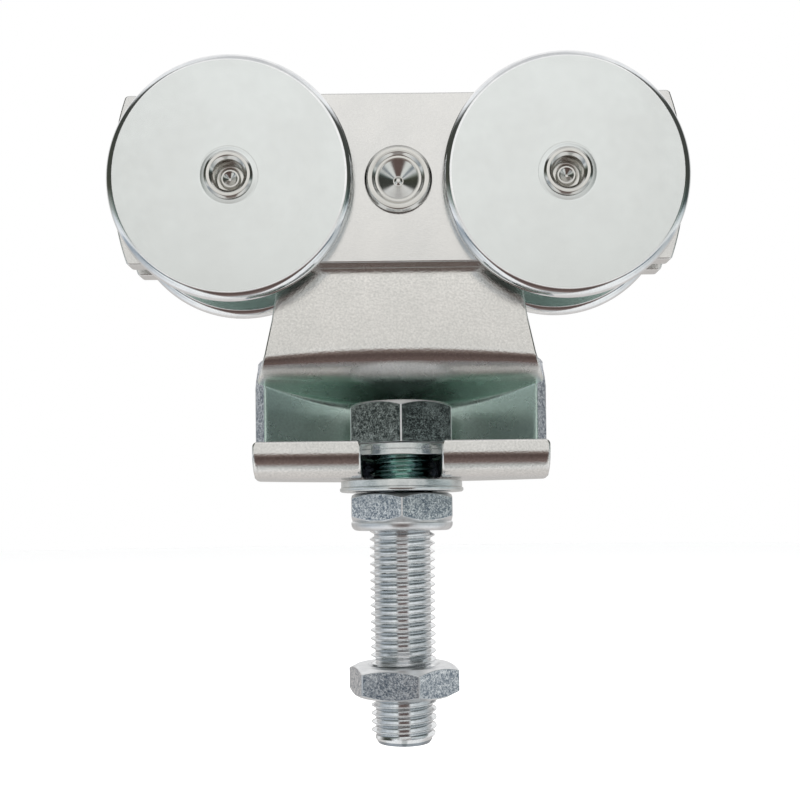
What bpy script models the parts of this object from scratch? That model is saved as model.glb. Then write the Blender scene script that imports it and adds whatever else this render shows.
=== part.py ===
"""Four-wheel track trolley: two wheel pairs in a riveted plate carrier, with a bolt hung in a pressed pocket.

X runs along the track, -Y is the front and +Z is up. The origin is midway between the two axles, on the
centre plane of the carrier. Lengths are in metres.
"""

from math import atan2, cos, pi, radians, sin, sqrt, tan

import bmesh
import bpy
from mathutils import Vector

MM = 0.001
GAP = 0.3 * MM  # clearance kept between neighbouring pieces

# Carrier plates
SHEET = 5.0 * MM
PLATE_HALF_HEIGHT = 20.2 * MM
PLATE_RISE = 0.6 * MM  # how far the plates' middle line is above the axles
PLATE_HALF_LENGTH = 64.5 * MM  # at the corners
PLATE_BULGE = 3.4 * MM  # how far the end arcs stand out past the corners

# Wheels and axles
AXLE_SPACING = 79.0 * MM
WHEEL_RADIUS = 29.0 * MM
WHEEL_THICKNESS = 4.0 * MM
WHEEL_RIM_ROUND = 1.4 * MM
WHEEL_OUTER_Y = 12.3 * MM
SPIGOT_RADIUS = 4.2 * MM
JOURNAL_RADIUS = 5.0 * MM
FLARE_RADIUS = 5.7 * MM
FLARE_HEIGHT = 0.7 * MM
RECESS_RADIUS = 3.6 * MM
RECESS_DEPTH = 4.6 * MM
STUB_RADIUS = 2.3 * MM
STUB_HEIGHT = 1.2 * MM
STUB_DIMPLE_RADIUS = 1.0 * MM
STUB_DIMPLE_DEPTH = 0.8 * MM
SPACER_RADIUS = 7.0 * MM
SPACER_HOLE_RADIUS = 8.0 * MM

# Deep-groove ball bearing in the carrier, one for each axle
BEARING_OUTER_RADIUS = 13.0 * MM
BEARING_HALF_WIDTH = 4.0 * MM
OUTER_RING_INSIDE = 11.0 * MM
INNER_RING_OUTSIDE = 7.6 * MM
BALL_RADIUS = 2.3 * MM
BALL_CLEARANCE = 0.25 * MM
BALL_COUNT = 12
SEAT_DEPTH = 1.5 * MM  # how far the bearing enters each side plate

# Centre rivet
RIVET_RADIUS = 5.0 * MM
RIVET_HEAD_RADIUS = 8.0 * MM
RIVET_HEAD_HEIGHT = 1.2 * MM
RIVET_DIMPLE_RADIUS = 4.8 * MM
RIVET_DIMPLE_DEPTH = 2.6 * MM

# Pressed hanger: web, pocket and lip follow one sheet
WEB_HALF_LENGTH = 57.0 * MM
WEB_TOP = 18.5 * MM
WEB_CORNER = 3.0 * MM
NECK_HALF_WIDTH = 30.0 * MM
NECK_Z = -26.0 * MM
NECK_STEP = 0.4 * MM  # rounding where the web meets the neck
SHOULDER_HALF_WIDTH = 31.0 * MM
SHOULDER_Z = -32.0 * MM
ROOF_HALF_WIDTH = 33.0 * MM
ROOF_CORNER_Z = -42.75 * MM
ROOF_SLOPE = radians(20.0)
REAR_WALL_Y = 18.3 * MM  # middle of the sheet at the centre
REAR_WALL_PLAN_RADIUS = 57.5 * MM
POCKET_HALF_WIDTH = 35.2 * MM
LIP_HALF_WIDTH = 33.5 * MM
LIP_Y = -17.5 * MM
LIP_TOP = -62.7 * MM
FLOOR_Z = -68.3 * MM  # middle of the sheet
SHOULDER_BEND = (6.5 * MM, 3.2 * MM)  # radius at the centre and at the sides
ROOF_BEND = (5.5 * MM, 3.0 * MM)
FLOOR_BEND = (3.6 * MM, 3.6 * MM)
LIP_BEND = (3.1 * MM, 3.1 * MM)
SLOT_HALF_WIDTH = 9.1 * MM
COLUMNS = 16
BEND_STEPS = 5

# Bolt, washers and nuts, all M16
THREAD_RADIUS = 7.9 * MM
HEX_ACROSS_FLATS = 24.0 * MM
HEAD_HEIGHT = 10.0 * MM
BOLT_END_Z = -134.2 * MM
BOLT_END_CHAMFER = 1.6 * MM
WASHER_RADIUS = 15.0 * MM
WASHER_THICKNESS = 2.7 * MM
CLAMP_NUT_HEIGHT = 9.0 * MM
LOWER_NUT_HEIGHT = 7.4 * MM
LOWER_NUT_TOP = -115.4 * MM
LOWER_NUT_TURN = radians(15.0)
NUT_CHAMFER_SLOPE = tan(radians(30.0))
HEX_FACE_SHARE = 0.95  # the round end face's share of the across-flats size

SEGMENTS = 40
SMALL_SEGMENTS = 24
EDGE = 0.3 * MM  # small chamfer on turned pieces
FACING_FRONT = (pi / 2, 0.0, 0.0)  # turns a local +Z axis to face the front

ZINC = ((0.72, 0.74, 0.73, 1.0), 0.32)
PALE_ZINC = ((0.80, 0.83, 0.81, 1.0), 0.38)
BRIGHT_ZINC = ((0.66, 0.70, 0.72, 1.0), 0.25)
BEARING_STEEL = ((0.55, 0.56, 0.58, 1.0), 0.12)


def clear_scene():
    for obj in list(bpy.data.objects):
        bpy.data.objects.remove(obj, do_unlink=True)


def new_collection(name):
    collection = bpy.data.collections.new(name)
    bpy.context.scene.collection.children.link(collection)
    return collection


def material(name, finish):
    colour, roughness = finish
    made = bpy.data.materials.new(name)
    made.use_nodes = True
    shader = made.node_tree.nodes["Principled BSDF"]
    shader.inputs["Base Color"].default_value = colour
    shader.inputs["Roughness"].default_value = roughness
    shader.inputs["Metallic"].default_value = 1.0
    return made


def add_object(name, mesh, collection, finish=None):
    obj = bpy.data.objects.new(name, mesh)
    collection.objects.link(obj)
    if finish:
        mesh.materials.append(material(name + "_finish", finish))
    return obj


def settle(obj):
    """Applies the modifiers and shades the round faces smooth."""
    graph = bpy.context.evaluated_depsgraph_get()
    mesh = bpy.data.meshes.new_from_object(obj.evaluated_get(graph))
    obj.modifiers.clear()
    obj.data = mesh
    mesh.shade_smooth()
    mesh.set_sharp_from_angle(angle=radians(32.0))
    return obj


def turned(name, profile, collection, finish=None, segments=SEGMENTS, closed=False):
    """A piece turned about local Z. Its profile of (radius, z) runs from the top down the outside."""
    mesh = bpy.data.meshes.new(name)
    points = [(radius, 0.0, z) for radius, z in profile]
    edges = [(i, i + 1) for i in range(len(points) - 1)]
    if closed:
        edges.append((len(points) - 1, 0))
    mesh.from_pydata(points, edges, [])
    obj = add_object(name, mesh, collection, finish)
    screw = obj.modifiers.new("turn", "SCREW")
    screw.axis = "Z"
    screw.steps = segments
    screw.render_steps = segments
    screw.use_merge_vertices = True
    screw.merge_threshold = 0.00001
    return obj


def ring_profile(inner, outer, low, high):
    """The section of a plain ring."""
    return [(inner, high), (outer, high), (outer, low), (inner, low)]


def boolean(obj, operation, other):
    modifier = obj.modifiers.new(operation.lower() + "_" + other.name, "BOOLEAN")
    modifier.operation = operation
    modifier.solver = "EXACT"
    modifier.object = other


def as_cutter(obj):
    obj.hide_render = True
    obj.display_type = "WIRE"
    return obj


def round_cutter(name, radius, depth, location, cutters, segments=SEGMENTS):
    """A cylinder along Y for cutting a hole."""
    half = depth / 2
    profile = [(0.0, half), (radius, half), (radius, -half), (0.0, -half)]
    cutter = as_cutter(turned(name, profile, cutters, segments=segments))
    cutter.location = location
    cutter.rotation_euler = FACING_FRONT
    return cutter


def flat_plate(name, outline, thickness, collection, finish=None):
    """An outline in X and Z made into a plate that is centred on its own Y = 0."""
    curve = bpy.data.curves.new(name, "CURVE")
    curve.dimensions = "2D"
    curve.fill_mode = "BOTH"
    curve.extrude = thickness / 2
    spline = curve.splines.new("POLY")
    spline.points.add(len(outline) - 1)
    for point, (x, z) in zip(spline.points, outline):
        point.co = (x, z, 0.0, 1.0)
    spline.use_cyclic_u = True
    drawn = bpy.data.objects.new(name + "_outline", curve)
    collection.objects.link(drawn)
    drawn.rotation_euler = FACING_FRONT
    bpy.context.view_layer.update()
    graph = bpy.context.evaluated_depsgraph_get()
    mesh = bpy.data.meshes.new_from_object(drawn.evaluated_get(graph))
    mesh.transform(drawn.matrix_world)
    bpy.data.objects.remove(drawn)
    weld = bmesh.new()
    weld.from_mesh(mesh)
    bmesh.ops.remove_doubles(weld, verts=weld.verts, dist=0.00001)
    bmesh.ops.dissolve_limit(weld, angle_limit=radians(0.5), verts=weld.verts, edges=weld.edges)
    bmesh.ops.recalc_face_normals(weld, faces=weld.faces)
    weld.to_mesh(mesh)
    weld.free()
    return add_object(name, mesh, collection, finish)


def plate_outline():
    """A long plate whose ends are shallow arcs, listed once round."""
    half_height = PLATE_HALF_HEIGHT
    radius = (half_height**2 + PLATE_BULGE**2) / (2 * PLATE_BULGE)
    centre = PLATE_HALF_LENGTH + PLATE_BULGE - radius
    sweep = atan2(half_height, PLATE_HALF_LENGTH - centre)
    steps = 10
    angles = [sweep * (2 * i / steps - 1) for i in range(steps + 1)]
    right = [(centre + radius * cos(a), radius * sin(a)) for a in angles]
    left = [(-x, -z) for x, z in right]
    return right + left


def make_plate(name, side, parts, cutters):
    """One carrier plate. side is -1 for the front one and 1 for the rear one."""
    centre_y = side * (SHEET + GAP)
    plate = flat_plate(name, plate_outline(), SHEET, parts, ZINC)
    plate.location = (0, centre_y, PLATE_RISE)
    inner_face = side * (SHEET / 2 + GAP)
    for sign in (-1, 1):
        x = sign * AXLE_SPACING / 2
        hole = round_cutter(f"{name}_hole_{x:+.3f}", SPACER_HOLE_RADIUS, 2 * SHEET, (x, centre_y, 0), cutters,
                            SMALL_SEGMENTS)
        seat = round_cutter(f"{name}_seat_{x:+.3f}", BEARING_OUTER_RADIUS + GAP, 2 * SEAT_DEPTH,
                            (x, inner_face, 0), cutters)
        boolean(plate, "DIFFERENCE", hole)
        boolean(plate, "DIFFERENCE", seat)
    rivet_hole = round_cutter(name + "_rivet_hole", RIVET_RADIUS + GAP, 2 * SHEET, (0, centre_y, 0), cutters,
                              SMALL_SEGMENTS)
    boolean(plate, "DIFFERENCE", rivet_hole)
    return settle(plate)


def make_rivet(parts):
    """The rivet that holds the three plates, with a coned dimple in each head."""
    face = SHEET * 1.5 + 2 * GAP
    top = face + RIVET_HEAD_HEIGHT
    upper = [
        (0.0, top - RIVET_DIMPLE_DEPTH),
        (RIVET_DIMPLE_RADIUS, top - EDGE / 2),
        (RIVET_HEAD_RADIUS - 3 * EDGE, top),
        (RIVET_HEAD_RADIUS, top - 2 * EDGE),
        (RIVET_HEAD_RADIUS, face),
        (RIVET_RADIUS, face),
    ]
    lower = [(radius, -z) for radius, z in reversed(upper)]
    rivet = turned("centre_rivet", upper + lower, parts, BRIGHT_ZINC, SMALL_SEGMENTS)
    rivet.rotation_euler = FACING_FRONT
    return settle(rivet)


def axle_half_profile():
    """The front half of an axle, from its dimpled stub out over the flare and down to the middle."""
    wheel_face = WHEEL_OUTER_Y + GAP
    top = wheel_face + FLARE_HEIGHT
    shoulder = WHEEL_OUTER_Y - WHEEL_THICKNESS - GAP
    floor = top - RECESS_DEPTH
    return [
        (0.0, floor + STUB_HEIGHT - STUB_DIMPLE_DEPTH),
        (STUB_DIMPLE_RADIUS, floor + STUB_HEIGHT),
        (STUB_RADIUS, floor + STUB_HEIGHT - EDGE),
        (STUB_RADIUS, floor),
        (RECESS_RADIUS - EDGE, floor),
        (RECESS_RADIUS, top - EDGE),
        (RECESS_RADIUS + 2 * EDGE, top),
        (FLARE_RADIUS - EDGE, top - EDGE / 3),
        (FLARE_RADIUS, wheel_face),
        (SPIGOT_RADIUS, wheel_face),
        (SPIGOT_RADIUS, shoulder),
        (JOURNAL_RADIUS, shoulder),
    ]


def make_axle(side, hub, parts):
    upper = axle_half_profile()
    lower = [(radius, -z) for radius, z in reversed(upper)]
    axle = turned(side + "_axle", upper + lower, parts, BRIGHT_ZINC, SMALL_SEGMENTS)
    axle.parent = hub
    return settle(axle)


def rounded_corner(radius, z, bend, outward, steps=2):
    """Points of a quarter circle inside the corner at (radius, z), from the face round to the rim."""
    centre_r = radius - bend
    centre_z = z - outward * bend
    turns = [i / steps * pi / 2 for i in range(steps + 1)]
    return [(centre_r + bend * sin(a), centre_z + outward * bend * cos(a)) for a in turns]


def make_wheel(side, place, sign, hub, parts):
    """A flat disc wheel with rounded rims. sign is 1 for the front wheel, which faces local +Z."""
    outer = WHEEL_OUTER_Y
    inner = WHEEL_OUTER_Y - WHEEL_THICKNESS
    bore = SPIGOT_RADIUS + GAP
    top = rounded_corner(WHEEL_RADIUS, outer, WHEEL_RIM_ROUND, 1)
    bottom = rounded_corner(WHEEL_RADIUS, inner, WHEEL_RIM_ROUND, -1)
    profile = [(bore, outer)] + top + list(reversed(bottom)) + [(bore, inner)]
    if sign < 0:
        profile = [(radius, -z) for radius, z in reversed(profile)]
    wheel = turned(f"{side}_{place}_wheel", profile, parts, PALE_ZINC, closed=True)
    wheel.parent = hub
    return settle(wheel)


def make_spacer(side, place, sign, hub, parts):
    """The sleeve between the bearing's inner ring and a wheel."""
    low = BEARING_HALF_WIDTH + GAP
    high = WHEEL_OUTER_Y - WHEEL_THICKNESS - 2 * GAP
    ends = (low, high) if sign > 0 else (-high, -low)
    profile = ring_profile(JOURNAL_RADIUS + GAP, SPACER_RADIUS, *ends)
    spacer = turned(f"{side}_{place}_spacer", profile, parts, ZINC, SMALL_SEGMENTS, closed=True)
    spacer.parent = hub
    return settle(spacer)


def raceway(rim, groove, steps=4):
    """The groove's points from the top of a ring to its bottom, as radii off the ball circle."""
    pitch = (OUTER_RING_INSIDE + INNER_RING_OUTSIDE) / 2
    depth = abs(groove - pitch)
    reach = sqrt(max(depth**2 - (rim - pitch) ** 2, 0.0))
    widest = atan2(reach, abs(rim - pitch))
    sign = 1 if groove > pitch else -1
    angles = [widest * (1 - 2 * i / steps) for i in range(steps + 1)]
    return [(pitch + sign * depth * cos(a), depth * sin(a)) for a in angles]


def make_bearing(side, centre, hub, parts):
    """Outer ring, inner ring and balls, with the balls in facing grooves."""
    half = BEARING_HALF_WIDTH
    race_depth = BALL_RADIUS + BALL_CLEARANCE
    pitch = (OUTER_RING_INSIDE + INNER_RING_OUTSIDE) / 2
    outer_race = list(reversed(raceway(OUTER_RING_INSIDE, pitch + race_depth)))
    outer_profile = [
        (OUTER_RING_INSIDE, half),
        (BEARING_OUTER_RADIUS, half),
        (BEARING_OUTER_RADIUS, -half),
        (OUTER_RING_INSIDE, -half),
    ] + outer_race
    outer = turned(side + "_bearing_outer_ring", outer_profile, parts, BEARING_STEEL, closed=True)
    outer.location = (centre, 0, 0)
    outer.rotation_euler = FACING_FRONT
    settle(outer)
    inner_race = raceway(INNER_RING_OUTSIDE, pitch - race_depth)
    bore = JOURNAL_RADIUS + GAP
    inner_profile = [(bore, half), (INNER_RING_OUTSIDE, half)] + inner_race
    inner_profile += [(INNER_RING_OUTSIDE, -half), (bore, -half)]
    inner = turned(side + "_bearing_inner_ring", inner_profile, parts, BEARING_STEEL, SMALL_SEGMENTS, True)
    inner.parent = hub
    settle(inner)
    for i in range(BALL_COUNT):
        angle = 2 * pi * i / BALL_COUNT + pi / 2
        place = (pitch * cos(angle), pitch * sin(angle), 0)
        make_ball(f"{side}_ball_{i + 1}", place, hub, parts)


def make_ball(name, place, hub, parts):
    mesh = bpy.data.meshes.new(name)
    sphere = bmesh.new()
    bmesh.ops.create_icosphere(sphere, subdivisions=2, radius=BALL_RADIUS)
    sphere.to_mesh(mesh)
    sphere.free()
    ball = add_object(name, mesh, parts, BEARING_STEEL)
    ball.location = place
    ball.parent = hub
    return settle(ball)


def make_wheelset(side, sign, parts):
    """Everything that belongs to one axle, parented to an empty on its axis."""
    centre = sign * AXLE_SPACING / 2
    hub = bpy.data.objects.new(side + "_axle_line", None)
    parts.objects.link(hub)
    hub.location = (centre, 0, 0)
    hub.rotation_euler = FACING_FRONT
    bpy.context.view_layer.update()
    make_axle(side, hub, parts)
    for place, way in (("front", 1), ("rear", -1)):
        make_wheel(side, place, way, hub, parts)
        make_spacer(side, place, way, hub, parts)
    make_bearing(side, centre, hub, parts)


def mixed(pair, across):
    """A value that goes from its centre to its side figure as across goes from 0 to 1."""
    return pair[0] + (pair[1] - pair[0]) * across**2


def sheet_path(u):
    """The sheet's middle line in (y, z) at u across its width, with the half width at each point."""
    across = abs(u)
    x = u * POCKET_HALF_WIDTH
    rear_y = REAR_WALL_Y - REAR_WALL_PLAN_RADIUS + sqrt(REAR_WALL_PLAN_RADIUS**2 - x * x)
    roof_end_z = ROOF_CORNER_Z - rear_y * tan(ROOF_SLOPE)
    points = [
        (0.0, WEB_TOP, WEB_HALF_LENGTH - WEB_CORNER),
        (0.0, WEB_TOP - WEB_CORNER, WEB_HALF_LENGTH),
        (0.0, -WEB_TOP + WEB_CORNER, WEB_HALF_LENGTH),
        (0.0, -WEB_TOP, WEB_HALF_LENGTH - WEB_CORNER),
        (0.0, -WEB_TOP - NECK_STEP, NECK_HALF_WIDTH + NECK_STEP),
        (0.0, NECK_Z, NECK_HALF_WIDTH),
        (0.0, SHOULDER_Z, SHOULDER_HALF_WIDTH),
    ]
    corners = [
        ((0.0, ROOF_CORNER_Z), mixed(SHOULDER_BEND, across), ROOF_HALF_WIDTH),
        ((rear_y, roof_end_z), mixed(ROOF_BEND, across), POCKET_HALF_WIDTH),
        ((rear_y, FLOOR_Z), mixed(FLOOR_BEND, across), POCKET_HALF_WIDTH),
        ((LIP_Y, FLOOR_Z), mixed(LIP_BEND, across), LIP_HALF_WIDTH),
    ]
    last = (LIP_Y, LIP_TOP)
    stops = [points[-1][:2]] + [corner[0] for corner in corners] + [last]
    for before, corner, after in zip(stops, corners, stops[2:]):
        points += bend_points(before, *corner, after)
    points.append((*last, LIP_HALF_WIDTH))
    return points


def bend_points(before, corner, radius, half_width, after):
    """The arc that rounds a corner of the sheet's middle line."""
    here = Vector(corner)
    back = (Vector(before) - here).normalized()
    ahead = (Vector(after) - here).normalized()
    half_angle = back.angle(ahead) / 2
    centre = here + (back + ahead).normalized() * (radius / sin(half_angle))
    start = here + back * (radius / tan(half_angle)) - centre
    turn = pi - 2 * half_angle
    way = 1 if start.x * ahead.y - start.y * ahead.x > 0 else -1
    made = []
    for i in range(BEND_STEPS + 1):
        a = way * turn * i / BEND_STEPS
        y = centre.x + start.x * cos(a) - start.y * sin(a)
        z = centre.y + start.x * sin(a) + start.y * cos(a)
        made.append((y, z, half_width))
    return made


def hanger_sheet(parts):
    """The whole pressed sheet as one grid of its middle surface, thickened both ways."""
    columns = [sheet_path(2 * i / COLUMNS - 1) for i in range(COLUMNS + 1)]
    rows = len(columns[0])
    vertices = []
    for i, column in enumerate(columns):
        u = 2 * i / COLUMNS - 1
        vertices += [(u * half_width, y, z) for y, z, half_width in column]
    faces = []
    for i in range(COLUMNS):
        for j in range(rows - 1):
            a = i * rows + j
            faces.append((a, a + 1, a + rows + 1, a + rows))
    mesh = bpy.data.meshes.new("hanger_body")
    mesh.from_pydata(vertices, [], faces)
    sheet = add_object("hanger_body", mesh, parts, ZINC)
    solidify = sheet.modifiers.new("thickness", "SOLIDIFY")
    solidify.thickness = SHEET
    solidify.offset = 0.0
    solidify.use_even_offset = True
    solidify.use_quality_normals = True
    return sheet


def slot_cutter(cutters):
    """An open-ended slot with a round inner end, for the bolt's shank."""
    steps = 12
    front = LIP_Y - SHEET
    turns = [pi * i / steps for i in range(steps + 1)]
    arc = [(SLOT_HALF_WIDTH * cos(a), SLOT_HALF_WIDTH * sin(a)) for a in turns]
    outline = arc + [(-SLOT_HALF_WIDTH, front), (SLOT_HALF_WIDTH, front)]
    height = 4 * SHEET
    cutter = as_cutter(flat_plate("bolt_slot", outline, height, cutters))
    cutter.rotation_euler = (-pi / 2, 0, 0)
    cutter.location = (0, 0, FLOOR_Z + SHEET / 2)
    return cutter


def make_hanger(parts, cutters):
    hanger = hanger_sheet(parts)
    for sign in (-1, 1):
        x = sign * AXLE_SPACING / 2
        bore = round_cutter(f"web_bore_{x:+.3f}", BEARING_OUTER_RADIUS + GAP, 3 * SHEET, (x, 0, 0), cutters)
        boolean(hanger, "DIFFERENCE", bore)
    hole_radius = RIVET_RADIUS + GAP
    rivet_hole = round_cutter("web_rivet_hole", hole_radius, 3 * SHEET, (0, 0, 0), cutters, SMALL_SEGMENTS)
    boolean(hanger, "DIFFERENCE", rivet_hole)
    boolean(hanger, "DIFFERENCE", slot_cutter(cutters))
    return settle(hanger)


def hex_body(name, low, high, turn, chamfer_low, chamfer_high, parts, cutters):
    """A hexagonal body between two heights, with chamfers where asked. A corner faces the front at 0."""
    corner_radius = HEX_ACROSS_FLATS / 2 / cos(pi / 6)
    face_radius = HEX_ACROSS_FLATS / 2 * HEX_FACE_SHARE
    wide = corner_radius + EDGE
    drop = (wide - face_radius) * NUT_CHAMFER_SLOPE
    mesh = bpy.data.meshes.new(name)
    prism = bmesh.new()
    bmesh.ops.create_cone(prism, cap_ends=True, segments=6, radius1=corner_radius, radius2=corner_radius,
                          depth=high - low)
    prism.to_mesh(mesh)
    prism.free()
    obj = add_object(name, mesh, parts, BRIGHT_ZINC)
    obj.location.z = (low + high) / 2
    obj.rotation_euler.z = turn
    spare = 1.0 * MM
    profile = [(0.0, high + (0.0 if chamfer_high else spare))]
    profile += [(face_radius, high), (wide, high - drop)] if chamfer_high else [(wide, high + spare)]
    profile += [(wide, low + drop), (face_radius, low)] if chamfer_low else [(wide, low - spare)]
    profile.append((0.0, low - (0.0 if chamfer_low else spare)))
    envelope = as_cutter(turned(name + "_envelope", profile, cutters, segments=36))
    boolean(obj, "INTERSECT", envelope)
    return obj


def make_nut(name, top, height, turn, parts, cutters):
    nut = hex_body(name, top - height, top, turn, True, True, parts, cutters)
    middle = top - height / 2
    radius = THREAD_RADIUS + GAP
    profile = [(0.0, height), (radius, height), (radius, -height), (0.0, -height)]
    bore = as_cutter(turned(name + "_bore", profile, cutters, segments=SMALL_SEGMENTS))
    bore.location.z = middle
    boolean(nut, "DIFFERENCE", bore)
    return settle(nut)


def make_washer(name, top, parts):
    profile = ring_profile(THREAD_RADIUS + 2 * GAP, WASHER_RADIUS, -WASHER_THICKNESS, 0.0)
    washer = turned(name, profile, parts, PALE_ZINC, SMALL_SEGMENTS, closed=True)
    washer.location.z = top
    return settle(washer)


def make_bolt(under_head, parts, cutters):
    """The hexagon bolt, its head resting on the washer in the pocket."""
    bolt = hex_body("hanger_bolt", under_head, under_head + HEAD_HEIGHT, 0.0, False, True, parts, cutters)
    overlap = 2 * MM
    profile = [
        (0.0, under_head + overlap),
        (THREAD_RADIUS, under_head + overlap),
        (THREAD_RADIUS, BOLT_END_Z + BOLT_END_CHAMFER),
        (THREAD_RADIUS - BOLT_END_CHAMFER, BOLT_END_Z),
        (0.0, BOLT_END_Z),
    ]
    shank = as_cutter(turned("bolt_shank", profile, cutters, segments=SMALL_SEGMENTS))
    boolean(bolt, "UNION", shank)
    return settle(bolt)


def make_fixings(parts, cutters):
    floor_top = FLOOR_Z + SHEET / 2
    floor_bottom = FLOOR_Z - SHEET / 2
    head_washer_top = floor_top + GAP + WASHER_THICKNESS
    make_washer("head_washer", head_washer_top, parts)
    make_bolt(head_washer_top + GAP, parts, cutters)
    clamp_washer_top = floor_bottom - GAP
    make_washer("clamp_washer", clamp_washer_top, parts)
    clamp_nut_top = clamp_washer_top - WASHER_THICKNESS - GAP
    make_nut("clamp_nut", clamp_nut_top, CLAMP_NUT_HEIGHT, 0.0, parts, cutters)
    make_nut("lower_nut", LOWER_NUT_TOP, LOWER_NUT_HEIGHT, LOWER_NUT_TURN, parts, cutters)


def main():
    clear_scene()
    parts = new_collection("track_trolley")
    cutters = new_collection("cutters")
    make_hanger(parts, cutters)
    make_plate("front_side_plate", -1, parts, cutters)
    make_plate("rear_side_plate", 1, parts, cutters)
    make_rivet(parts)
    make_wheelset("left", -1, parts)
    make_wheelset("right", 1, parts)
    make_fixings(parts, cutters)


main()
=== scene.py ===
from math import atan2, cos, pi, radians, sin, sqrt, tan

import bmesh
import bpy
from mathutils import Matrix, Vector


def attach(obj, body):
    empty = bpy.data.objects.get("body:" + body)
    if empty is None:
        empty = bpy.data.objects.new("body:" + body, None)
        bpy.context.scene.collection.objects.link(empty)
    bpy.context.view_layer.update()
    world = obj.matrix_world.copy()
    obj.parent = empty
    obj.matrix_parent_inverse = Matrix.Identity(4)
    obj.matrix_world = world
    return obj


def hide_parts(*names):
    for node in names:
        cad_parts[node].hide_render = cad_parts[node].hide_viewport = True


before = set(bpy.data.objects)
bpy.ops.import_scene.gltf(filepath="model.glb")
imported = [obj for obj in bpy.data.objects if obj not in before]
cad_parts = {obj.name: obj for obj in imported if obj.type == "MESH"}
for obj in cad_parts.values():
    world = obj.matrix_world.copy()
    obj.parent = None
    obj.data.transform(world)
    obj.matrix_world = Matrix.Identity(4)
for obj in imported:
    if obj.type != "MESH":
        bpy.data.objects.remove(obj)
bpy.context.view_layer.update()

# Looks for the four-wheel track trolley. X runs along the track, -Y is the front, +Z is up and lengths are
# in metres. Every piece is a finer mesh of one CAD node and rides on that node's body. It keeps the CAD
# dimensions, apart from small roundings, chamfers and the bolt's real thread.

MM = 0.001

# Dimensions shared with the CAD model
GAP = 0.3 * MM
SHEET = 5.0 * MM
PLATE_HALF_HEIGHT = 20.2 * MM
PLATE_RISE = 0.6 * MM
PLATE_HALF_LENGTH = 64.5 * MM
PLATE_BULGE = 3.4 * MM
PLATE_CORNER = 1.0 * MM
AXLE_SPACING = 79.0 * MM
WHEEL_RADIUS = 29.0 * MM
WHEEL_THICKNESS = 4.0 * MM
WHEEL_RIM_ROUND = 1.9 * MM
WHEEL_OUTER_Y = 12.3 * MM
SPIGOT_RADIUS = 4.2 * MM
JOURNAL_RADIUS = 5.0 * MM
FLARE_RADIUS = 5.7 * MM
FLARE_HEIGHT = 0.7 * MM
RECESS_RADIUS = 3.6 * MM
RECESS_DEPTH = 4.6 * MM
STUB_RADIUS = 2.3 * MM
STUB_HEIGHT = 1.2 * MM
SPACER_RADIUS = 7.0 * MM
SPACER_HOLE_RADIUS = 8.0 * MM
BEARING_OUTER_RADIUS = 13.0 * MM
BEARING_HALF_WIDTH = 4.0 * MM
OUTER_RING_INSIDE = 11.0 * MM
INNER_RING_OUTSIDE = 7.6 * MM
BALL_RADIUS = 2.3 * MM
BALL_CLEARANCE = 0.25 * MM
BALL_COUNT = 12
SEAT_DEPTH = 1.5 * MM
RIVET_RADIUS = 5.0 * MM
RIVET_HEAD_RADIUS = 8.0 * MM
RIVET_HEAD_HEIGHT = 1.2 * MM
RIVET_DIMPLE_DEPTH = 2.6 * MM
WEB_HALF_LENGTH = 57.0 * MM
WEB_TOP = 18.5 * MM
WEB_CORNER = 3.0 * MM
NECK_HALF_WIDTH = 30.0 * MM
NECK_Z = -26.0 * MM
SHOULDER_HALF_WIDTH = 31.0 * MM
SHOULDER_Z = -32.0 * MM
ROOF_HALF_WIDTH = 33.0 * MM
ROOF_CORNER_Z = -42.75 * MM
ROOF_SLOPE = radians(20.0)
REAR_WALL_Y = 18.3 * MM
REAR_WALL_PLAN_RADIUS = 57.5 * MM
POCKET_HALF_WIDTH = 35.2 * MM
LIP_HALF_WIDTH = 33.5 * MM
LIP_Y = -17.5 * MM
LIP_TOP = -62.7 * MM
FLOOR_Z = -68.3 * MM
SHOULDER_BEND = (6.5 * MM, 3.2 * MM)
ROOF_BEND = (5.5 * MM, 3.0 * MM)
FLOOR_BEND = (3.6 * MM, 3.6 * MM)
LIP_BEND = (3.1 * MM, 3.1 * MM)
SLOT_HALF_WIDTH = 9.1 * MM
THREAD_RADIUS = 7.9 * MM
THREAD_PITCH = 2.0 * MM
THREAD_DEPTH = 1.08 * MM
HEX_ACROSS_FLATS = 24.0 * MM
HEAD_HEIGHT = 10.0 * MM
BOLT_END_Z = -134.2 * MM
BOLT_END_CHAMFER = 1.6 * MM
WASHER_RADIUS = 15.0 * MM
WASHER_THICKNESS = 2.7 * MM
CLAMP_NUT_HEIGHT = 9.0 * MM
LOWER_NUT_HEIGHT = 7.4 * MM
LOWER_NUT_TOP = -115.4 * MM
LOWER_NUT_TURN = radians(15.0)

# Details that only the looks have
EDGE_ROUND = 0.45 * MM  # rounding of the pressed sheet's cut edges
CORNER_ROUND = 1.2 * MM  # plan rounding of the lip's corners
PLATE_EDGE_ROUND = 0.4 * MM
HEX_CORNER_ROUND = 0.12 * MM
# Chamfers of a hexagon's ends, as (radius of the end face, depth at the middle of a flat, slope beyond that)
NO_CHAMFER = (11.8 * MM, 0.05 * MM, 0.0)
HEAD_CHAMFER = (11.4 * MM, 0.35 * MM, 0.58)
NUT_CHAMFER = (11.45 * MM, 0.36 * MM, 0.50)
FORGED_CHAMFER = (12.2 * MM, 2.4 * MM, 0.60)
# Below its flats the clamp nut ends in a round barrel, as (radius, height above the end, rounding)
ROLLED_END = [(12.05 * MM, 2.3 * MM), (12.3 * MM, 1.95 * MM, 0.4 * MM)]
ROLLED_END += [(12.3 * MM, 0.0, 1.6 * MM), (10.6 * MM, 0.0)]
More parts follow.
